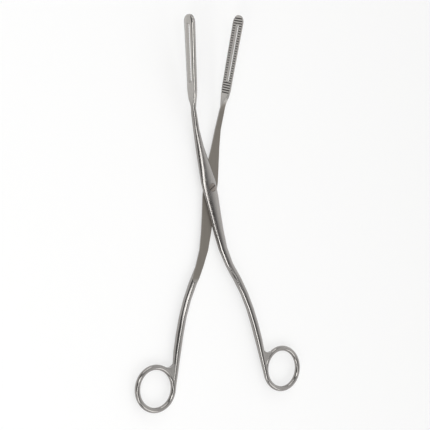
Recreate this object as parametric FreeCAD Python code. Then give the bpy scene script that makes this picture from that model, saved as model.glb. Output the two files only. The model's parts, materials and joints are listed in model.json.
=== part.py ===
import FreeCAD, Part
import math
import os

# Ovum forceps: two forged arms that cross and turn on one joint screw.
# Units are millimetres. Each arm is drawn closed, with the screw axis on Z
# and the closing line of the jaws on +Y, then swung to the stored pose.
# Everything is first drawn as the lower arm: jaw on +X, finger ring on -X.
# The upper arm is its mirror image in X, ground on the other side.

V = FreeCAD.Vector

# Pose
HALF_OPENING = 9.8            # degrees each arm stands away from the closing line

# Jaws, with lengths measured back from the tip along the jaw
JAW_TIP_Y = 124.6             # tip, measured from the screw
JAW_LENGTH = 68.0             # tip to where the jaw has died into the neck
JAW_HALF_WIDTH = 5.65         # at the tip
JAW_REAR_HALF_WIDTH = 4.9     # where the sides start to draw in
JAW_DRAW_IN = 14.0            # length over which they draw in
JAW_END_HALF_WIDTH = 2.2
JAW_THICKNESS = 2.6
JAW_EDGE_ROUNDING = 1.3       # of the back, all round
JAW_TOE_IN = 2.4              # how far one jaw's end stands off when the tips meet
TIP_GAP = 0.10                # clear space left between the tips in the closed pose

# Window and cross grooves of the jaws
RAIL_WIDTH = 3.55             # metal on each side of the window, at the tip
WINDOW_START = 6.1
WINDOW_TO_END = 19.3          # solid length between the window and the jaw's end
TOOTH_PITCH = 1.8
TOOTH_DEPTH = 0.5
TOOTH_SHARE = 0.72            # part of the pitch that a groove takes up
TEETH_START = 2.4
TEETH_TO_END = 11.0           # smooth length behind the last groove

# Curve that lifts the jaws towards the upper face
CURVE_ANGLE = 12.4            # degrees
CURVE_LENGTH = 26.0
CURVE_TO_JAW = 0.6            # straight length between the curve and the jaw's end

# Joint and its screw
MATING_GAP = 0.06             # between the two ground faces
JOINT_HALF_WIDTH = 6.25
JOINT_HALF_HEIGHT = 3.85
JOINT_X = 0.45                # middle of the swelling, off the screw axis
SCREW_HEAD_D = 5.8
SCREW_HEAD_HEIGHT = 1.9
SCREW_DOME_R = 11.0
SCREW_SHOULDER_D = 3.8
SCREW_THREAD_D = 3.0
SCREW_END_SETBACK = 0.3       # the riveted end lies this far inside the lower crown
SCREW_SLOT_WIDTH = 0.7
SCREW_SLOT_DEPTH = 0.6
SCREW_SLOT_ANGLE = 35.0       # degrees from +X
RUNNING_CLEARANCE = 0.04      # radial, shoulder in the upper arm
SEAT_CLEARANCE = 0.05         # axial, under the head
HEAD_CLEARANCE = 0.15         # radial, round the head
THREAD_CLEARANCE = 0.02       # radial, thread in the lower arm

# Slim shank before the jaw, and the neck that ends inside it
SHANK_TO_JAW = 5.6            # shank to the jaw's end
SHANK_X = 2.92
SHANK_HALF_WIDTH = 2.0
SHANK_HALF_HEIGHT = 3.05
NECK_INTO_JAW = 1.4
NECK_HALF_WIDTH = 1.95
BAR_INTO_JAW = 10.4

# Ground mating face and its run-outs at both ends
FLAT_PAST_BEND = 0.5          # rear run-out starts this far past the inner bend
REAR_RUN_OUT = 13.0
FRONT_RUN_OUT = 12.5
RUN_OUT_OVERSHOOT = 0.65      # how far the rear run-out climbs past the rod

# Rods, bent out from the joint to the finger rings
ROD_R = 2.75
BEND_INNER_Y = -57.5
BEND_INNER_X = -3.1
BEND_MIDDLE_Y = -75.0
BEND_MIDDLE_X = -9.75
BEND_OUTER_Y = -94.0
BEND_OUTER_X = -14.2

# Finger rings
RING_REACH = 146.4            # screw to ring centre, along Y
RING_SPREAD = 17.3            # closing line to the band where the rod runs in, along X
RING_R = 15.15                # middle of the round band
BAND_R = 1.9
BAND_FLATS = 16               # narrow flats round the band
ROD_TAPER = 27.0              # length of the straight rod end, which slims down to the band
ROD_FOOT_DRIFT = 0.7          # how much nearer the closing line the taper starts
ROD_END_R = 1.8               # just inside the band
ROD_END_OVERLAP = 1.0         # how far the rod end goes past the ring's middle
WEB_HALF_HEIGHT = 1.6
WEB_RUN = 4.0                 # how far the web runs up the rod, beyond the ring
WEB_HOLLOW = 3.1              # how far its hollow edge stands off the rod
WEB_LEAN = 25.0               # degrees from +Y at which it meets the ring

# Fineness of the forging
STATION_SPACING = 13.0
SAME_PLACE = 0.001            # places nearer than this are one
FAR = 40.0                    # reach of the cutting shapes beyond the metal

# Places that follow from the sizes above
JAW_END_Y = JAW_TIP_Y - JAW_LENGTH
CURVE_END = JAW_END_Y - CURVE_TO_JAW
CURVE_START = CURVE_END - CURVE_LENGTH


def share(low, high, part):
    """The value that lies the given part of the way from low to high."""
    return low + (high - low) * part


def rad(degrees):
    return math.radians(degrees)


def mating_height(y):
    """Height of the mating surface: level, then an arc, then a straight slope."""
    if y <= CURVE_START:
        return 0.0
    radius = CURVE_LENGTH / math.sin(rad(CURVE_ANGLE))
    if y <= CURVE_END:
        return radius - math.sqrt(radius ** 2 - (y - CURVE_START) ** 2)
    rise = radius * (1.0 - math.cos(rad(CURVE_ANGLE)))
    return rise + (y - CURVE_END) * math.tan(rad(CURVE_ANGLE))


def face_x(y):
    """X of the biting face of the right jaw, drawn closed and toed in."""
    return TIP_GAP / 2.0 + (JAW_TIP_Y - y) * JAW_TOE_IN / JAW_LENGTH


def rod_foot():
    """Middle of the rod where its straight taper to the ring starts."""
    return V(ROD_FOOT_DRIFT - RING_SPREAD, ROD_TAPER - RING_REACH, 0)


def rod_end_way():
    """Direction of the rod's straight end, towards the ring."""
    return (V(-RING_SPREAD, -RING_REACH, 0) - rod_foot()).normalize()


def rod_end():
    """Straight end of the rod, slimming down to run into the ring's band."""
    length = ROD_TAPER + ROD_END_OVERLAP
    return Part.makeCone(ROD_R, ROD_END_R, length, rod_foot(), rod_end_way())


def forging_landmarks():
    """Places along the bar as (Y, middle X, half width, half height), from ring to jaw."""
    foot = rod_foot()
    shank_y = JAW_END_Y - SHANK_TO_JAW
    neck_y = JAW_END_Y + NECK_INTO_JAW
    end_y = JAW_END_Y + BAR_INTO_JAW

    def rear(part, drift, swell, rise):
        return (BEND_INNER_Y * part, share(BEND_INNER_X, JOINT_X, drift),
                share(ROD_R, JOINT_HALF_WIDTH, swell), share(ROD_R, JOINT_HALF_HEIGHT, rise))

    def front(part, drift, slimming, lowering):
        return (shank_y * part, share(JOINT_X, SHANK_X, drift),
                share(JOINT_HALF_WIDTH, SHANK_HALF_WIDTH, slimming),
                share(JOINT_HALF_HEIGHT, SHANK_HALF_HEIGHT, lowering))

    return [
        (-RING_REACH, -RING_SPREAD, BAND_R, BAND_R),
        (foot.y, foot.x, ROD_R, ROD_R),
        (BEND_OUTER_Y, BEND_OUTER_X, ROD_R, ROD_R),
        (BEND_MIDDLE_Y, BEND_MIDDLE_X, ROD_R * 1.02, ROD_R * 1.05),
        rear(1.00, 0.00, 0.09, 0.40),
        rear(0.76, 0.78, 0.28, 0.62),
        rear(0.42, 0.96, 0.56, 0.86),
        rear(0.20, 0.98, 0.80, 0.95),
        (0.0, JOINT_X, JOINT_HALF_WIDTH, JOINT_HALF_HEIGHT),
        front(0.20, 0.18, 0.08, 0.06),
        front(0.35, 0.40, 0.35, 0.19),
        front(0.51, 0.63, 0.59, 0.38),
        front(0.78, 0.89, 0.88, 0.75),
        (shank_y, SHANK_X, SHANK_HALF_WIDTH, SHANK_HALF_HEIGHT),
        (neck_y, face_x(neck_y) + JAW_THICKNESS * 0.42, NECK_HALF_WIDTH, SHANK_HALF_HEIGHT),
        (end_y, face_x(end_y) + JAW_THICKNESS * 0.50, JAW_THICKNESS * 0.42, JAW_END_HALF_WIDTH),
    ]


def smooth_row(rows, y):
    """Row of values at Y on smooth curves through the landmark rows."""
    last = len(rows) - 2
    i = max(k for k in range(last + 1) if rows[k][0] <= y or k == 0)
    before = rows[max(i - 1, 0)]
    start = rows[i]
    end = rows[i + 1]
    after = rows[min(i + 2, last + 1)]
    span = end[0] - start[0]
    t = (y - start[0]) / span
    values = []
    for k in range(1, len(start)):
        slope_in = (end[k] - before[k]) / (end[0] - before[0]) * span
        slope_out = (after[k] - start[k]) / (after[0] - start[0]) * span
        value = start[k] * (1.0 + 2.0 * t) * (1.0 - t) ** 2 + slope_in * t * (1.0 - t) ** 2
        value += end[k] * t ** 2 * (3.0 - 2.0 * t) - slope_out * t ** 2 * (1.0 - t)
        values.append(value)
    return values


def section(y, x, half_width, half_height):
    """One oval cross-section of the bar, square to Y, centred on the mating surface."""
    middle = V(x, y, mating_height(y))
    side = middle + V(half_width, 0, 0)
    top = middle + V(0, 0, half_height)
    if half_height > half_width:
        oval = Part.Ellipse(top, side, middle)
    else:
        oval = Part.Ellipse(side, top, middle)
    start = oval.parameter(side)
    return Part.Wire([oval.toShape(start, start + 2.0 * math.pi)])


def foot_section():
    """Round section at the rod's foot, square to its straight end."""
    circle = Part.Circle(rod_foot(), -rod_end_way(), ROD_R)
    start = circle.parameter(rod_foot() + V(ROD_R, 0, 0))
    return Part.Wire([circle.toShape(start, start + 2.0 * math.pi)])


def stations():
    """Y of the bar's sections, evenly spaced between the places where its ground face turns."""
    end_y = forging_landmarks()[-1][0]
    turns = [rod_foot().y, BEND_INNER_Y - FLAT_PAST_BEND, CURVE_START, CURVE_END, end_y]
    places = [turns[0]]
    for start, end in zip(turns, turns[1:]):
        count = math.ceil((end - start) / STATION_SPACING)
        places += [share(start, end, (i + 1) / count) for i in range(count)]
    return places


def bar():
    """The forged bar from the rod's foot into the jaw, wider across Y where it runs aslant."""
    rows = forging_landmarks()
    step = 0.5
    wires = [foot_section()]
    for y in stations()[1:]:
        x, half_width, half_height = smooth_row(rows, y)
        if y < BEND_INNER_Y:
            slope = (smooth_row(rows, y + step)[0] - smooth_row(rows, y - step)[0]) / (2.0 * step)
            half_width *= math.sqrt(1.0 + slope ** 2)
        wires.append(section(y, x, half_width, half_height))
    return Part.makeLoft(wires, True, True)


def jaw_outline():
    """Side outline of the jaw in the YZ plane, with its round tip at Y 0."""
    r = JAW_HALF_WIDTH
    drawn_in = JAW_DRAW_IN - JAW_LENGTH
    tip = [V(0, -r, r), V(0, 0, 0), V(0, -r, -r)]
    corners = [
        tip[2],
        V(0, drawn_in, -JAW_REAR_HALF_WIDTH),
        V(0, -JAW_LENGTH, -JAW_END_HALF_WIDTH),
        V(0, -JAW_LENGTH, JAW_END_HALF_WIDTH),
        V(0, drawn_in, JAW_REAR_HALF_WIDTH),
        tip[0],
    ]
    edges = [Part.Arc(*tip).toShape()]
    for start, end in zip(corners, corners[1:]):
        edges.append(Part.makeLine(start, end))
    return Part.Wire(edges)


def jaw_plate():
    """Jaw with a flat biting face at X 0 and a well-rounded back."""
    plate = Part.Face(jaw_outline()).extrude(V(JAW_THICKNESS, 0, 0))
    back = [edge for edge in plate.Edges if edge.BoundBox.XMin > JAW_THICKNESS / 2.0]
    return plate.makeFillet(JAW_EDGE_ROUNDING, back)


def jaw_window():
    """Cutting shape of the long round-ended window through the jaw."""
    r = JAW_HALF_WIDTH - RAIL_WIDTH
    through = 3.0 * JAW_THICKNESS
    front_y = -WINDOW_START - r
    rear_y = WINDOW_TO_END - JAW_LENGTH + r
    ends = [Part.makeCylinder(r, through, V(-JAW_THICKNESS, y, 0), V(1, 0, 0))
            for y in (front_y, rear_y)]
    middle = Part.makeBox(through, front_y - rear_y, 2.0 * r, V(-JAW_THICKNESS, rear_y, -r))
    return middle.fuse(ends)


def tooth_grooves():
    """Cutting shapes of the cross grooves of the biting face, square to the jaw."""
    count = int((JAW_LENGTH - TEETH_TO_END - TEETH_START) / TOOTH_PITCH) + 1
    half = TOOTH_PITCH * TOOTH_SHARE / 2.0
    reach = 1.5 * JAW_HALF_WIDTH
    grooves = []
    for i in range(count):
        y = -TEETH_START - i * TOOTH_PITCH
        corners = [
            V(-TOOTH_DEPTH, y - 2.0 * half, -reach),
            V(TOOTH_DEPTH, y, -reach),
            V(-TOOTH_DEPTH, y + 2.0 * half, -reach),
        ]
        face = Part.Face(Part.makePolygon(corners + [corners[0]]))
        grooves.append(face.extrude(V(0, 0, 2.0 * reach)))
    return grooves


def jaw():
    """The finished jaw, toed in and lifted with the curve of the bar."""
    shape = jaw_plate().cut(jaw_window())
    shape = shape.cut(tooth_grooves())
    shape.rotate(V(0, 0, 0), V(0, 0, 1), math.degrees(math.atan2(JAW_TOE_IN, JAW_LENGTH)))
    shape.rotate(V(0, 0, 0), V(1, 0, 0), CURVE_ANGLE)
    shape.translate(V(TIP_GAP / 2.0, JAW_TIP_Y, mating_height(JAW_TIP_Y)))
    return shape


def ring_centre():
    return V(-RING_SPREAD - RING_R, -RING_REACH, 0)


def finger_ring():
    """Ring of near-round band: the polishing belt leaves narrow flats round it."""
    middle = ring_centre() + V(RING_R, 0, 0)
    corners = []
    for i in range(BAND_FLATS):
        angle = 2.0 * math.pi * (i + 0.5) / BAND_FLATS
        corners.append(middle + V(BAND_R * math.cos(angle), 0, BAND_R * math.sin(angle)))
    face = Part.Face(Part.makePolygon(corners + [corners[0]]))
    return face.revolve(ring_centre(), V(0, 0, 1), 360)


def near_ring(r, lean):
    """Point at radius r about the ring centre, leaning the given degrees from +Y to the rod."""
    return ring_centre() + V(r * math.sin(rad(lean)), r * math.cos(rad(lean)), 0)


def ring_web():
    """Small web that fills the fork between rod and ring."""
    top = -RING_REACH + RING_R + BAND_R
    start = V(-RING_SPREAD - BAND_R / 3.0, top + WEB_RUN, 0)
    middle = V(-RING_SPREAD - WEB_HOLLOW, top - BAND_R / 3.0, 0)
    end = near_ring(RING_R + BAND_R, WEB_LEAN)
    on_band = near_ring(RING_R, WEB_LEAN)
    low = near_ring(RING_R, 2.4 * WEB_LEAN)
    in_rod = V(-RING_SPREAD, low.y, 0)
    edges = [Part.Arc(start, middle, end).toShape()]
    corners = [end, on_band, low, in_rod, start]
    for first, second in zip(corners, corners[1:]):
        edges.append(Part.makeLine(first, second))
    face = Part.Face(Part.Wire(edges))
    face.translate(V(0, 0, -WEB_HALF_HEIGHT))
    return face.extrude(V(0, 0, 2.0 * WEB_HALF_HEIGHT))


def grinding_space(side):
    """Space above (side +1) or below (side -1) the mating surface, with its run-outs."""
    lift = -side * MATING_GAP / 2.0

    def point(y, z):
        return V(-FAR, y, mating_height(y) + side * z + lift)

    flat_rear = BEND_INNER_Y - FLAT_PAST_BEND
    rear_end = flat_rear - REAR_RUN_OUT
    rear_rise = ROD_R + RUN_OUT_OVERSHOOT
    front_end = JAW_END_Y + FRONT_RUN_OUT
    rear_arc = [point(rear_end, rear_rise), point(share(flat_rear, rear_end, 0.5), rear_rise * 0.30),
                point(flat_rear, 0)]
    in_curve = [y for y in stations() if CURVE_START - SAME_PLACE < y < CURVE_END + SAME_PLACE]
    curve = [point(y, 0) for y in in_curve]
    front_arc = [point(JAW_END_Y, 0), point(share(JAW_END_Y, front_end, 0.5), JAW_HALF_WIDTH * 0.22),
                 point(front_end, JAW_HALF_WIDTH)]
    far_front = V(-FAR, front_end, side * FAR)
    far_rear = V(-FAR, rear_end, side * FAR)
    corners = [rear_arc[-1]] + curve + [front_arc[0]]
    edges = [Part.Arc(*rear_arc).toShape()]
    for start, end in zip(corners, corners[1:]):
        edges.append(Part.makeLine(start, end))
    edges.append(Part.Arc(*front_arc).toShape())
    corners = [front_arc[-1], far_front, far_rear, rear_arc[0]]
    for start, end in zip(corners, corners[1:]):
        edges.append(Part.makeLine(start, end))
    face = Part.Face(Part.Wire(edges))
    return face.extrude(V(2.0 * FAR, 0, 0))


def arm(ground_side):
    """One arm, closed, as the right jaw, ground on the given side."""
    body = bar().fuse(jaw())
    body = body.cut(grinding_space(ground_side))
    return body.fuse([rod_end(), finger_ring(), ring_web()])


def opened(shape, side):
    """Swing a closed arm to the stored pose: the right jaw goes to +X."""
    shape.rotate(V(0, 0, 0), V(0, 0, 1), -side * HALF_OPENING)
    return shape


def lower_arm():
    """Arm under the joint: the screw is threaded into it."""
    r = SCREW_THREAD_D / 2.0 + THREAD_CLEARANCE
    hole = Part.makeCylinder(r, 2.0 * FAR, V(0, 0, -FAR))
    return opened(arm(1).cut(hole), 1)


def upper_arm():
    """Arm over the joint: it turns on the shoulder of the screw."""
    body = arm(-1).mirror(V(0, 0, 0), V(1, 0, 0))
    bore = Part.makeCylinder(SCREW_SHOULDER_D / 2.0 + RUNNING_CLEARANCE, FAR, V(0, 0, -FAR / 2.0))
    seat_z = JOINT_HALF_HEIGHT - SCREW_HEAD_HEIGHT - SEAT_CLEARANCE
    seat = Part.makeCylinder(SCREW_HEAD_D / 2.0 + HEAD_CLEARANCE, FAR, V(0, 0, seat_z))
    return opened(body.cut([bore, seat]), -1)


def joint_screw():
    """Slotted shoulder screw with a low domed head, level with the arm's crown."""
    tail = JOINT_HALF_HEIGHT - SCREW_END_SETBACK
    shoulder_low = -MATING_GAP / 2.0
    head_low = JOINT_HALF_HEIGHT - SCREW_HEAD_HEIGHT
    thread = Part.makeCylinder(SCREW_THREAD_D / 2.0, tail, V(0, 0, -tail))
    shoulder = Part.makeCylinder(SCREW_SHOULDER_D / 2.0, head_low - shoulder_low, V(0, 0, shoulder_low))
    head = Part.makeCylinder(SCREW_HEAD_D / 2.0, SCREW_HEAD_HEIGHT, V(0, 0, head_low))
    head = head.common(Part.makeSphere(SCREW_DOME_R, V(0, 0, JOINT_HALF_HEIGHT - SCREW_DOME_R)))
    slot_corner = V(-SCREW_HEAD_D, -SCREW_SLOT_WIDTH / 2.0, JOINT_HALF_HEIGHT - SCREW_SLOT_DEPTH)
    slot = Part.makeBox(2.0 * SCREW_HEAD_D, SCREW_SLOT_WIDTH, 2.0 * SCREW_SLOT_DEPTH, slot_corner)
    slot.rotate(V(0, 0, 0), V(0, 0, 1), SCREW_SLOT_ANGLE)
    return thread.fuse([shoulder, head]).cut(slot).removeSplitter()


def footprint_shift(shapes):
    """Move that puts the middle of the footprint, on the table, at the origin."""
    box = FreeCAD.BoundBox()
    for shape in shapes:
        box.add(shape.optimalBoundingBox(False, False))
    return V(-(box.XMin + box.XMax) / 2.0, -(box.YMin + box.YMax) / 2.0, -box.ZMin)


def build():
    parts = {
        "upper_arm": upper_arm(),
        "lower_arm": lower_arm(),
        "joint_screw": joint_screw(),
    }
    shift = footprint_shift(parts.values())
    os.makedirs("parts", exist_ok=True)
    for name, shape in parts.items():
        shape.translate(shift)
        solid = shape.Solids[0]
        solid.exportStep("parts/" + name + ".step")
        print(name, "solids", len(shape.Solids), "valid", solid.isValid(), "volume", round(solid.Volume, 1))
    print("screw axis at", round(shift.x, 3), round(shift.y, 3), "mating plane at", round(shift.z, 3))


build()
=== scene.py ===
import json
import math

import bmesh
import bpy
from mathutils import Matrix, Quaternion, Vector


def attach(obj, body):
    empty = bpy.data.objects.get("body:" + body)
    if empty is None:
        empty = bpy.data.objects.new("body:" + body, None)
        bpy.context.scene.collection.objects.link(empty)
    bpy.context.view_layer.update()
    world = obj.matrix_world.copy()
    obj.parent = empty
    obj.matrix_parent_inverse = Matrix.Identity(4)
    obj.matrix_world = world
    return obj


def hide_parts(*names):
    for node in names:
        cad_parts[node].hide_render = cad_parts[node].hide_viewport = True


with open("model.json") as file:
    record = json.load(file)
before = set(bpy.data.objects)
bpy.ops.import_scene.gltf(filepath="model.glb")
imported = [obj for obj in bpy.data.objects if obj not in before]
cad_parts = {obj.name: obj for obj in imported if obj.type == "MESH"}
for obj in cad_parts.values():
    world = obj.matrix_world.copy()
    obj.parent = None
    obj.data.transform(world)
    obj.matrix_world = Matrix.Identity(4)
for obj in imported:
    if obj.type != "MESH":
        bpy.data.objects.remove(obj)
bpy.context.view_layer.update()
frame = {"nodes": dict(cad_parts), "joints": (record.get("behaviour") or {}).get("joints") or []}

# Ovum forceps in stainless steel: polished crowns, ground mating faces, sawn cross grooves.
# The sizes of the forging and of its marks are in mm, those of camera and studio in metres.

MM = 0.001
SCREW = Vector(frame["joints"][0]["pos_m"])     # screw axis at the mating plane

# Forging, from the screw, with the arm closed and its jaw on +X, as the lower arm lies.
# The crowns are smooth curves through these places: Y, middle X, half width, half height.
BAR_PLACES = (
    (-146.4, -17.30, 1.90, 1.90),
    (-119.4, -16.60, 2.75, 2.75),
    (-94.0, -14.20, 2.75, 2.75),
    (-75.0, -9.75, 2.81, 2.89),
    (-57.5, -3.10, 3.07, 3.19),
    (-43.7, -0.33, 3.73, 3.43),
    (-24.2, 0.31, 4.71, 3.70),
    (-11.5, 0.38, 5.55, 3.80),
    (0.0, 0.45, 6.25, 3.85),
    (10.2, 0.89, 5.91, 3.80),
    (17.9, 1.44, 4.76, 3.70),
    (26.0, 2.01, 3.74, 3.55),
    (39.8, 2.65, 2.51, 3.25),
    (51.0, 2.92, 2.00, 3.05),
    (58.0, 3.49, 1.95, 3.05),
    (67.0, 3.38, 1.09, 2.20),
)
HALF_OPENING = math.radians(9.8)
ROD_FOOT = -119.4                     # below this the rod end is a plain taper
BEND_INNER = -57.5                    # behind this the sections lie aslant
BAR_END = 62.0                        # in front of this the bar has run into the jaw
CURVE_START = 30.0
CURVE_LENGTH = 26.0
CURVE_ANGLE = math.radians(12.4)
RING_CENTRE = Vector((-32.45, -146.4, 0.0))
RING_R = 15.15                        # to the middle of the band
BAND_R = 1.9
SKIN = 0.35                           # a place nearer the true crown than this belongs to it
CROWN_TURN = math.cos(math.radians(32.0))       # a face turned further off than this doesn't

# Jaw. Lengths are measured back from its tip.
JAW_TIP_X = 0.05
JAW_TIP_Y = 124.6
JAW_TOE_IN = math.atan2(2.4, 68.0)
JAW_REAR_Y = 58.0
JAW_TIP_R = 5.65                      # half width at the round tip
JAW_REAR_R = 4.9                      # half width where the sides draw in
JAW_END_R = 2.2                       # half width at the neck
JAW_DRAWN_IN = 54.0                   # where the sides draw in
JAW_LENGTH = 68.0
JAW_EDGE = 1.3                        # thickness of the jaw at its rim
JAW_CROWN = 1.5                       # rise of the half-oval back above the rim
SHADED_CROWN = 2.9                    # rise of the rounder oval that the polish shows
CROWN_FULL = 46.0                     # where the crown starts to fade
CROWN_GONE = 60.0
CROWN_STRIPS = 14                     # narrow strips that the back is cut into
CROWN_END_CUTS = (0.3, 1.0, 2.0, 3.2, 4.5, 5.65, 46.0, 49.0, 52.0, 55.0, 58.0)   # and across
HAIR = 0.01                           # room for rounding errors
SAME_PLACE = 0.001                    # corners nearer than this to a cut stay as they are
TOOTH_PITCH = 1.8
TOOTH_DEPTH = 0.5
FIRST_GROOVE = 2.4
TEETH_LENGTH = 58.0

# Colours of the surfaces
CROWN_COLOUR = "#9D9A97"              # belt-polished crown
GROUND_COLOUR = "#858079"             # ground mating face
JAW_SHEEN_COLOUR = "#B2AFAB"                # paler colour of the jaw, a painted reflection
GROOVE_SHADE_COLOUR = "#4A4643"             # painted shade in the cross grooves
SCREW_COLOUR = "#8C857F"
SLOT_COLOUR = "#3E3A37"               # darker colour low on the screw, in its slot
TABLE_COLOUR = "#F4F4F3"
WHITE = "#FFFFFF"

# Marks of the work. Each pair gives the two ends of a change.
NOISE_SPAN = (0.3, 0.7)               # nearly all values of a noise lie in here
CROWN_ROUGHNESS = (0.13, 0.19)
GROUND_ROUGHNESS = (0.38, 0.50)
LINE_GAP = 0.3                        # a real belt leaves finer lines than these
LINE_LENGTH = 25.0
LINE_SHADE = (0.90, 1.06)             # what a line does to the colour
LINE_HEIGHT = 0.03
CROWN_LINE_STRENGTH = 0.05
GROUND_LINE_STRENGTH = 0.22
PATCH_SIZE = 6.0
GROUND_TURN = (0.80, 0.90)            # how squarely a ground face looks up or down
GROUND_REAR = (-67.0, -64.0)          # where it runs out, along Y from the screw
GROUND_FRONT = (66.0, 62.0)
JAW_SHEEN_RUN = 8.0                  # over which the jaw's paler colour, a painted reflection, begins
GROOVE_BLUR = 0.35                    # how softly a groove's walls show
GROOVE_TOP = (0.03, 0.15)             # below the biting face
GROOVE_FLOOR = (TOOTH_DEPTH + 0.08, TOOTH_DEPTH + 0.02)
SCREW_ROUGHNESS = (0.26, 0.34)
TURNING_GAP = 0.25                    # a real lathe feed is about 0.05
TURNING_HEIGHT = 0.02
TURNING_STRENGTH = 0.12
SLOT_LEVELS = (3.20, 3.55)            # where the darker slot colour fades out, above the mating plane

# Camera, measured from the screw
VIEW_SIDE = math.radians(36.0)        # how far round to the left of straight above
VIEW_TIP = math.radians(1.645)
VIEW_ROLL = math.radians(-3.2615)
VIEW_DISTANCE = 1.02377
VIEW_TARGET = Vector((3.771 * MM, -20.483 * MM, 0.0))
PHOTO_WIDTH = 430
FOCAL_PIXELS = 1411.1
SENSOR = 36.0                         # mm
SHIFT_X = -0.6 / PHOTO_WIDTH
SHIFT_Y = 0.5 / PHOTO_WIDTH

# Studio. The room's walls turn from dark on the left to pale on the right.
WALL_DARK = 0.17
WALL_PALE = 1.15
WALL_SPAN = (-0.30, 1.05)             # X, of a length of 1, between which they turn pale
TABLE_SIZE = 12.0
TABLE_DROP = 0.05 * MM                # below the part, so the two never share a plane
TABLE_WHITENESS = 0.6                 # share of plain white in the table as seen
KEY_TWIST = math.radians(12.7)

# Soft boxes that face the screw: name, way there, distance, width, height, radiance, twist.
# The strip gives the long white line on rods and joint, the two boxes on the left the lines
# of the jaws and shanks, and the two dim ones fill the tips and the rings.
SOFTBOXES = (
    ("key_strip", (-0.55, -0.15, 0.85), 1.02, 0.16, 1.40, 3.4, KEY_TWIST),
    ("rear_left_box", (-0.37, 0.24, 0.89), 1.0, 0.24, 0.76, 2.8, KEY_TWIST),
    ("front_left_box", (-0.62, -0.62, 0.50), 1.0, 0.24, 0.60, 3.8, math.radians(30.0)),
    ("tip_box", (0.0, 0.85, 0.55), 1.2, 0.9, 0.7, 1.7, 0.0),
    ("ring_box", (0.1, -0.80, 0.62), 1.2, 0.9, 0.7, 1.7, 0.0),
)


def linear(hex_colour):
    """sRGB hex to linear RGBA."""
    values = []
    for i in (1, 3, 5):
        c = int(hex_colour[i:i + 2], 16) / 255.0
        values.append(c / 12.92 if c <= 0.04045 else ((c + 0.055) / 1.055) ** 2.4)
    return (*values, 1.0)


def add_node(tree, kind, inputs=None, **settings):
    """Add one node: settings are its properties, inputs its values or links by socket."""
    made = tree.nodes.new(kind)
    for name, value in settings.items():
        setattr(made, name, value)
    for name, value in (inputs or {}).items():
        if isinstance(value, bpy.types.NodeSocket):
            tree.links.new(value, made.inputs[name])
        else:
            made.inputs[name].default_value = value
    return made


def new_material(name):
    material = bpy.data.materials.new(name)
    material.use_nodes = True
    material.node_tree.nodes.clear()
    return material


def to_drawing(side):
    """Turn from the part as it lies to the drawing. side is +1 for the arm with its jaw on +X,
    -1 for its mirror image."""
    return Matrix.Diagonal((side, 1.0, 1.0)) @ Matrix.Rotation(side * HALF_OPENING, 3, "Z")


def mating_height(y):
    """Height of the ground face: level, then an arc, then a straight slope."""
    if y <= CURVE_START:
        return 0.0
    radius = CURVE_LENGTH / math.sin(CURVE_ANGLE)
    if y <= CURVE_START + CURVE_LENGTH:
        return radius - math.sqrt(radius ** 2 - (y - CURVE_START) ** 2)
    rise = radius * (1.0 - math.cos(CURVE_ANGLE))
    return rise + (y - CURVE_START - CURVE_LENGTH) * math.tan(CURVE_ANGLE)


def jaw_axes(side):
    """The tip of a jaw's biting face, and its ways into the metal, along and across the jaw."""
    to_part = to_drawing(side).transposed()
    turn = Matrix.Rotation(CURVE_ANGLE, 3, "X") @ Matrix.Rotation(JAW_TOE_IN, 3, "Z")
    tip = SCREW + to_part @ Vector((JAW_TIP_X, JAW_TIP_Y, mating_height(JAW_TIP_Y))) * MM
    return [tip] + [to_part @ turn @ Vector(way) for way in ((1, 0, 0), (0, 1, 0), (0, 0, 1))]


def on_ground_face(tree, coords, place, face_side):
    """1 on the ground mating face, which looks up or down between its two run-outs."""
    facing = add_node(tree, "ShaderNodeSeparateXYZ", {0: coords.outputs["Normal"]})
    looks = add_node(tree, "ShaderNodeMath", {0: facing.outputs["Z"], 1: float(face_side)},
                     operation="MULTIPLY")
    share = add_node(tree, "ShaderNodeMapRange", {
        "Value": looks.outputs[0], "From Min": GROUND_TURN[0], "From Max": GROUND_TURN[1]})
    for run_out in (GROUND_REAR, GROUND_FRONT):
        end = add_node(tree, "ShaderNodeMapRange", {
            "Value": place.outputs["Y"], "From Min": SCREW.y + run_out[0] * MM,
            "From Max": SCREW.y + run_out[1] * MM})
        share = add_node(tree, "ShaderNodeMath", {0: share.outputs[0], 1: end.outputs[0]},
                         operation="MULTIPLY")
    return share.outputs[0]


def in_shaded_grooves(tree, coords, side):
    """1 in the cross grooves of the jaw, where painted shade darkens the colour."""
    tip, inward, along, _ = jaw_axes(side)
    from_tip = add_node(tree, "ShaderNodeVectorMath", {0: coords.outputs["Object"], 1: tip},
                        operation="SUBTRACT")
    deep = add_node(tree, "ShaderNodeVectorMath", {0: from_tip.outputs[0], 1: inward},
                    operation="DOT_PRODUCT")
    back = add_node(tree, "ShaderNodeVectorMath", {0: from_tip.outputs[0], 1: -along},
                    operation="DOT_PRODUCT")
    past_first = add_node(tree, "ShaderNodeMath", {
        0: back.outputs["Value"], 1: FIRST_GROOVE * MM}, operation="SUBTRACT")
    turns = add_node(tree, "ShaderNodeMath", {
        0: past_first.outputs[0], 1: 2.0 * math.pi / (TOOTH_PITCH * MM)}, operation="MULTIPLY")
    wave = add_node(tree, "ShaderNodeMath", {0: turns.outputs[0]}, operation="COSINE")
    share = add_node(tree, "ShaderNodeMapRange", {
        "Value": wave.outputs[0], "From Min": -GROOVE_BLUR, "From Max": GROOVE_BLUR})
    toothed = add_node(tree, "ShaderNodeMath", {
        0: back.outputs["Value"], 1: TEETH_LENGTH * MM}, operation="LESS_THAN")
    limits = [toothed] + [add_node(tree, "ShaderNodeMapRange", {
        "Value": deep.outputs["Value"], "From Min": start * MM, "From Max": end * MM})
        for start, end in (GROOVE_TOP, GROOVE_FLOOR)]
    for limit in limits:
        share = add_node(tree, "ShaderNodeMath", {0: share.outputs[0], 1: limit.outputs[0]},
                         operation="MULTIPLY")
    return share.outputs[0]


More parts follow.
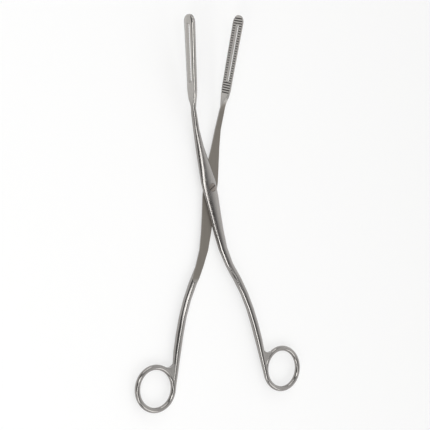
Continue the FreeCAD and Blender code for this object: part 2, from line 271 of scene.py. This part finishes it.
def forged_steel(name, face_side, lean):
    """Stainless steel forging, belt-polished lengthwise, with a ground mating face.

    Polishing leaves bright crowns with fine lines along the arm, and grinding leaves the flat
    duller and a little browner. face_side is +1 where the ground face looks up, and lean is
    the turn of the polishing lines."""
    material = new_material(name)
    tree = material.node_tree
    coords = add_node(tree, "ShaderNodeTexCoord")
    place = add_node(tree, "ShaderNodeSeparateXYZ", {0: coords.outputs["Object"]})
    ground = on_ground_face(tree, coords, place, face_side)

    # Polishing lines along the arm, drawn coarser than the real belt's grit
    along = add_node(tree, "ShaderNodeMapping", {
        "Vector": coords.outputs["Object"], "Rotation": (0.0, 0.0, lean),
        "Scale": [1.0 / (size * MM) for size in (LINE_GAP, LINE_LENGTH, LINE_GAP)]})
    lines = add_node(tree, "ShaderNodeTexNoise", {
        "Vector": along.outputs[0], "Scale": 1.0, "Detail": 3.0, "Roughness": 0.6})
    # Hand marks and uneven polish
    patches = add_node(tree, "ShaderNodeTexNoise", {
        "Vector": coords.outputs["Object"], "Scale": 1.0 / (PATCH_SIZE * MM), "Detail": 2.0})

    crown_rough, ground_rough, shade = [add_node(tree, "ShaderNodeMapRange", {
        "Value": noise.outputs["Fac"], "From Min": NOISE_SPAN[0], "From Max": NOISE_SPAN[1],
        "To Min": low, "To Max": high}) for noise, (low, high) in (
            (patches, CROWN_ROUGHNESS), (lines, GROUND_ROUGHNESS), (lines, LINE_SHADE))]
    rough = add_node(tree, "ShaderNodeMix", {
        0: ground, 2: crown_rough.outputs[0], 3: ground_rough.outputs[0]}, data_type="FLOAT")

    # The jaw gets a paler colour, a painted reflection, and its cross grooves get a dark painted shade
    on_jaw = add_node(tree, "ShaderNodeMapRange", {
        "Value": place.outputs["Y"], "From Min": SCREW.y + JAW_REAR_Y * MM,
        "From Max": SCREW.y + (JAW_REAR_Y + JAW_SHEEN_RUN) * MM})
    groove_shade = in_shaded_grooves(tree, coords, face_side)
    tint = linear(CROWN_COLOUR)
    for share, layer_colour in ((ground, GROUND_COLOUR), (on_jaw.outputs[0], JAW_SHEEN_COLOUR),
                          (groove_shade, GROOVE_SHADE_COLOUR)):
        tint = add_node(tree, "ShaderNodeMix", {0: share, 6: tint, 7: linear(layer_colour)},
                        data_type="RGBA").outputs[2]
    colour = add_node(tree, "ShaderNodeVectorMath", {0: tint, "Scale": shade.outputs[0]},
                      operation="SCALE")

    depth = add_node(tree, "ShaderNodeMix", {
        0: ground, 2: CROWN_LINE_STRENGTH, 3: GROUND_LINE_STRENGTH}, data_type="FLOAT")
    bump = add_node(tree, "ShaderNodeBump", {
        "Strength": depth.outputs[0], "Distance": LINE_HEIGHT * MM,
        "Height": lines.outputs["Fac"]})
    steel = add_node(tree, "ShaderNodeBsdfPrincipled", {
        "Base Color": colour.outputs[0], "Metallic": 1.0, "Roughness": rough.outputs[0],
        "Normal": bump.outputs[0]})
    add_node(tree, "ShaderNodeOutputMaterial", {"Surface": steel.outputs[0]})
    return material


def turned_steel(name):
    """Stainless bar turned on a lathe: faint rings round the axis and a satin head."""
    material = new_material(name)
    tree = material.node_tree
    coords = add_node(tree, "ShaderNodeTexCoord")
    centred = add_node(tree, "ShaderNodeVectorMath", {0: coords.outputs["Object"], 1: SCREW},
                       operation="SUBTRACT")
    flat = add_node(tree, "ShaderNodeVectorMath", {0: centred.outputs[0], 1: (1.0, 1.0, 0.0)},
                    operation="MULTIPLY")
    radius = add_node(tree, "ShaderNodeVectorMath", {0: flat.outputs[0]}, operation="LENGTH")
    # Tool marks, drawn coarser than the real feed
    turns = add_node(tree, "ShaderNodeMath", {
        0: radius.outputs["Value"], 1: 2.0 * math.pi / (TURNING_GAP * MM)}, operation="MULTIPLY")
    rings = add_node(tree, "ShaderNodeMath", {0: turns.outputs[0]}, operation="SINE")
    rough = add_node(tree, "ShaderNodeMapRange", {
        "Value": rings.outputs[0], "From Min": -1.0, "From Max": 1.0,
        "To Min": SCREW_ROUGHNESS[0], "To Max": SCREW_ROUGHNESS[1]})
    bump = add_node(tree, "ShaderNodeBump", {
        "Strength": TURNING_STRENGTH, "Distance": TURNING_HEIGHT * MM,
        "Height": rings.outputs[0]})
    # The screw is darker below these levels, in its slot
    height = add_node(tree, "ShaderNodeSeparateXYZ", {0: centred.outputs[0]})
    proud = add_node(tree, "ShaderNodeMapRange", {
        "Value": height.outputs["Z"], "From Min": SLOT_LEVELS[0] * MM,
        "From Max": SLOT_LEVELS[1] * MM})
    colour = add_node(tree, "ShaderNodeMix", {
        0: proud.outputs[0], 6: linear(SLOT_COLOUR), 7: linear(SCREW_COLOUR)}, data_type="RGBA")
    steel = add_node(tree, "ShaderNodeBsdfPrincipled", {
        "Base Color": colour.outputs[2], "Metallic": 1.0, "Roughness": rough.outputs[0],
        "Normal": bump.outputs[0]})
    add_node(tree, "ShaderNodeOutputMaterial", {"Surface": steel.outputs[0]})
    return material


def crown_place(y):
    """Middle X, half width and half height of the bar at Y, on smooth curves."""
    i = max(k for k in range(len(BAR_PLACES) - 1) if BAR_PLACES[k][0] <= y or k == 0)
    start = BAR_PLACES[i]
    end = BAR_PLACES[i + 1]
    span = end[0] - start[0]
    t = (y - start[0]) / span
    if y < ROD_FOOT:
        return [a + (b - a) * t for a, b in zip(start[1:], end[1:])]
    before = BAR_PLACES[max(i - 1, 0)]
    after = BAR_PLACES[min(i + 2, len(BAR_PLACES) - 1)]
    values = []
    for k in (1, 2, 3):
        slope_in = (end[k] - before[k]) / (end[0] - before[0]) * span
        slope_out = (after[k] - start[k]) / (after[0] - start[0]) * span
        value = start[k] * (1.0 + 2.0 * t) * (1.0 - t) ** 2 + slope_in * t * (1.0 - t) ** 2
        values.append(value + end[k] * t ** 2 * (3.0 - 2.0 * t) - slope_out * t ** 2 * (1.0 - t))
    return values


def crown_level(point):
    """How far out of the bar's true oval a point lies: 1 is on it."""
    x, half_width, half_height = crown_place(point.y)
    if point.y < BEND_INNER:
        slope = (crown_place(point.y + 1.0)[0] - crown_place(point.y - 1.0)[0]) / 2.0
        half_width *= math.sqrt(1.0 + slope ** 2)
    across = (point.x - x) / half_width
    up = (point.z - mating_height(point.y)) / half_height
    return math.hypot(across, up)


def crown_normal(point):
    """Outward direction of the bar's true oval at a point, or None away from it."""
    if not BAR_PLACES[0][0] - 1.0 < point.y < BAR_END:
        return None
    slim = min(crown_place(point.y)[1:])
    if abs(crown_level(point) - 1.0) * slim > SKIN:
        return None
    step = 0.2
    return Vector([crown_level(point + axis * step) - crown_level(point - axis * step)
                   for axis in (Vector((1, 0, 0)), Vector((0, 1, 0)), Vector((0, 0, 1)))]).normalized()


def band_normal(point):
    """Outward direction of the ring's round band at a point, or None away from it."""
    flat = Vector((point.x, point.y, 0.0)) - RING_CENTRE
    if flat.length < BAND_R:
        return None
    out = point - (RING_CENTRE + flat.normalized() * RING_R)
    if abs(out.length - BAND_R) > SKIN / 2.0:
        return None
    return out.normalized()


def jaw_measures(place, axes):
    """Depth into the jaw, length back from its tip and height across it, in mm."""
    from_tip = (place - axes[0]) / MM
    return from_tip.dot(axes[1]), -from_tip.dot(axes[2]), from_tip.dot(axes[3])


def back_oval(back, height):
    """The jaw's half width, and how far a place is to its side, to its end and up its oval."""
    if back < JAW_DRAWN_IN:
        part = max(back - JAW_TIP_R, 0.0) / (JAW_DRAWN_IN - JAW_TIP_R)
        half_width = JAW_TIP_R + (JAW_REAR_R - JAW_TIP_R) * part
    else:
        part = (back - JAW_DRAWN_IN) / (JAW_LENGTH - JAW_DRAWN_IN)
        half_width = JAW_REAR_R + (JAW_END_R - JAW_REAR_R) * part
    to_side = max(-1.0, min(1.0, height / half_width))
    to_end = max(0.0, min(1.0, (JAW_TIP_R - back) / JAW_TIP_R))
    return half_width, to_side, to_end, math.sqrt(max(0.0, 1.0 - to_side ** 2 - to_end ** 2))


def crown_share(deep, back):
    """1 on the crowned back, fading to 0 towards the neck, and 0 off the back."""
    if deep < JAW_EDGE - HAIR or back > CROWN_GONE:
        return 0.0
    return min(1.0, (CROWN_GONE - back) / (CROWN_GONE - CROWN_FULL))


def on_back(place, axes):
    """Whether a place is on the jaw's back or on the neck that it runs into."""
    deep, back, _ = jaw_measures(place, axes)
    return crown_share(deep, back) > 0.0 or (deep > JAW_EDGE and back < JAW_LENGTH)


def crown_the_jaw(mesh, axes):
    """Draw the flat back of the jaw to a half-oval, and keep the shading it had as cad_normal."""
    tip, inward, along, across = axes
    kept = mesh.attributes.new("cad_normal", "FLOAT_VECTOR", "CORNER")
    kept.data.foreach_set("vector", [c for corner in mesh.corner_normals for c in corner.vector])
    net = bmesh.new()
    net.from_mesh(mesh)
    cuts = [(tip + across * MM * JAW_TIP_R * (2.0 * i / CROWN_STRIPS - 1.0), across)
            for i in range(1, CROWN_STRIPS)]
    cuts += [(tip - along * MM * back, along) for back in CROWN_END_CUTS]
    for place, way in cuts:
        faces = [face for face in net.faces if all(on_back(v.co, axes) for v in face.verts)]
        edges = {edge for face in faces for edge in face.edges}
        corners = {corner for face in faces for corner in face.verts}
        bmesh.ops.bisect_plane(net, geom=[*faces, *edges, *corners], dist=SAME_PLACE * MM,
                               plane_co=place, plane_no=way)
    for corner in net.verts:
        deep, back, height = jaw_measures(corner.co, axes)
        share = crown_share(deep, back)
        if share > 0.0:
            rise = JAW_EDGE + JAW_CROWN * back_oval(back, height)[3]
            corner.co += inward * MM * (rise - deep) * share
    net.to_mesh(mesh)
    net.free()


def jaw_back_normal(place, axes):
    """Outward direction of the crowned back as the polish shows it, and how far it counts."""
    deep, back, height = jaw_measures(place, axes)
    share = crown_share(deep, back)
    if share == 0.0:
        return None, 0.0
    half_width, to_side, to_end, level = back_oval(back, height)
    way = axes[1] * level * half_width / SHADED_CROWN + axes[3] * to_side + axes[2] * to_end
    return way.normalized(), share


def dress(piece, material):
    """Give a piece its material, in its one slot."""
    piece.data.materials.clear()
    piece.data.materials.append(material)


def finished_arm(node_name, body, side, material):
    """The arm with its jaw crowned, shaded along the true round of its crowns, rod and ring."""
    mesh = frame["nodes"][node_name].data.copy()
    arm = bpy.data.objects.new(node_name + "_forging", mesh)
    bpy.context.scene.collection.objects.link(arm)
    axes = jaw_axes(side)
    crown_the_jaw(mesh, axes)
    turn = to_drawing(side)
    places = [turn @ (corner.co - SCREW) / MM for corner in mesh.vertices]
    crowns = [crown_normal(place) for place in places]
    bands = [band_normal(place) for place in places]
    kept = mesh.attributes["cad_normal"]
    shading = [Vector(corner.vector).normalized() for corner in kept.data]
    for face in mesh.polygons:
        face_way = turn @ face.normal
        for corner in face.loop_indices:
            spot = mesh.loops[corner].vertex_index
            for true_way in (crowns[spot], bands[spot]):
                if true_way is not None and true_way.dot(face_way) > CROWN_TURN:
                    shading[corner] = turn.transposed() @ true_way
            back_way, share = jaw_back_normal(mesh.vertices[spot].co, axes)
            if share > 0.0 and back_way.dot(face.normal) > CROWN_TURN:
                shading[corner] = shading[corner].lerp(back_way, share).normalized()
    mesh.attributes.remove(kept)
    mesh.normals_split_custom_set(shading)
    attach(arm, body)
    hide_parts(node_name)
    dress(arm, material)


def laminate_table():
    """Pale matt laminate table that the forceps lies on."""
    bpy.ops.mesh.primitive_plane_add(size=TABLE_SIZE, location=(0.0, 0.0, -TABLE_DROP))
    table = bpy.context.object
    table.name = "table_top"
    material = new_material("matt_white_laminate")
    tree = material.node_tree
    matt = add_node(tree, "ShaderNodeBsdfDiffuse", {"Color": linear(TABLE_COLOUR)})
    # The eye, and the steel as a mirror, see it nearly white, and part of the shadow stays
    white = add_node(tree, "ShaderNodeEmission", {"Color": linear(WHITE), "Strength": 1.0})
    ray = add_node(tree, "ShaderNodeLightPath")
    seen = add_node(tree, "ShaderNodeMath", {
        0: ray.outputs["Is Camera Ray"], 1: ray.outputs["Is Glossy Ray"]}, operation="MAXIMUM")
    seen = add_node(tree, "ShaderNodeMath", {
        0: seen.outputs[0], 1: ray.outputs["Is Transmission Ray"]}, operation="MAXIMUM")
    share = add_node(tree, "ShaderNodeMath", {0: seen.outputs[0], 1: TABLE_WHITENESS},
                     operation="MULTIPLY")
    surface = add_node(tree, "ShaderNodeMixShader", {
        0: share.outputs[0], 1: matt.outputs[0], 2: white.outputs[0]})
    add_node(tree, "ShaderNodeOutputMaterial", {"Surface": surface.outputs[0]})
    table.data.materials.append(material)


def studio_walls():
    """Pale room light, darker on the left, where polished steel shows its dark bands."""
    world = bpy.data.worlds.new("studio")
    bpy.context.scene.world = world
    world.use_nodes = True
    tree = world.node_tree
    tree.nodes.clear()
    coords = add_node(tree, "ShaderNodeTexCoord")
    way = add_node(tree, "ShaderNodeSeparateXYZ", {0: coords.outputs["Generated"]})
    level = add_node(tree, "ShaderNodeMapRange", {
        "Value": way.outputs["X"], "From Min": WALL_SPAN[0], "From Max": WALL_SPAN[1],
        "To Min": WALL_DARK, "To Max": WALL_PALE}, interpolation_type="SMOOTHSTEP")
    back = add_node(tree, "ShaderNodeBackground", {
        "Color": linear(WHITE), "Strength": level.outputs[0]})
    add_node(tree, "ShaderNodeOutputWorld", {"Surface": back.outputs[0]})


def softbox(name, direction, distance, width, height, radiance, twist):
    """Rectangular lamp of even radiance that faces the screw."""
    lamp = bpy.data.lights.new(name, "AREA")
    lamp.shape = "RECTANGLE"
    lamp.size = width
    lamp.size_y = height
    lamp.energy = radiance * math.pi * width * height
    holder = bpy.data.objects.new(name, lamp)
    bpy.context.scene.collection.objects.link(holder)
    way = Vector(direction).normalized()
    holder.location = SCREW + way * distance
    holder.rotation_mode = "QUATERNION"
    holder.rotation_quaternion = (-way).to_track_quat("-Z", "Y") @ Quaternion((0.0, 0.0, 1.0), twist)


def photo_camera():
    """Camera that stands where the photograph was taken from."""
    right = Vector((math.cos(VIEW_SIDE), 0.0, math.sin(VIEW_SIDE)))
    ahead = Vector((math.sin(VIEW_SIDE) * math.cos(VIEW_TIP), -math.sin(VIEW_TIP),
                    -math.cos(VIEW_SIDE) * math.cos(VIEW_TIP)))
    up = right.cross(ahead)
    level = right * math.cos(VIEW_ROLL) + up * math.sin(VIEW_ROLL)
    plumb = up * math.cos(VIEW_ROLL) - right * math.sin(VIEW_ROLL)
    data = bpy.data.cameras.new("photo_camera")
    data.sensor_width = SENSOR
    data.lens = FOCAL_PIXELS * SENSOR / PHOTO_WIDTH
    data.shift_x = SHIFT_X
    data.shift_y = SHIFT_Y
    data.clip_start = 0.05
    data.clip_end = 50.0
    camera = bpy.data.objects.new("photo_camera", data)
    bpy.context.scene.collection.objects.link(camera)
    place = SCREW + VIEW_TARGET - ahead * VIEW_DISTANCE
    turn = Matrix((level, plumb, -ahead)).transposed().to_4x4()
    camera.matrix_world = Matrix.Translation(place) @ turn
    bpy.context.scene.camera = camera


bpy.context.scene.view_settings.view_transform = "Standard"
finished_arm("upper_arm", "upper", -1,
             forged_steel("polished_upper_arm", -1, math.radians(-14.0)))
finished_arm("lower_arm", "lower", 1,
             forged_steel("polished_lower_arm", 1, math.radians(10.0)))
dress(frame["nodes"]["joint_screw"], turned_steel("turned_screw"))
laminate_table()
studio_walls()
for box in SOFTBOXES:
    softbox(*box)
photo_camera()
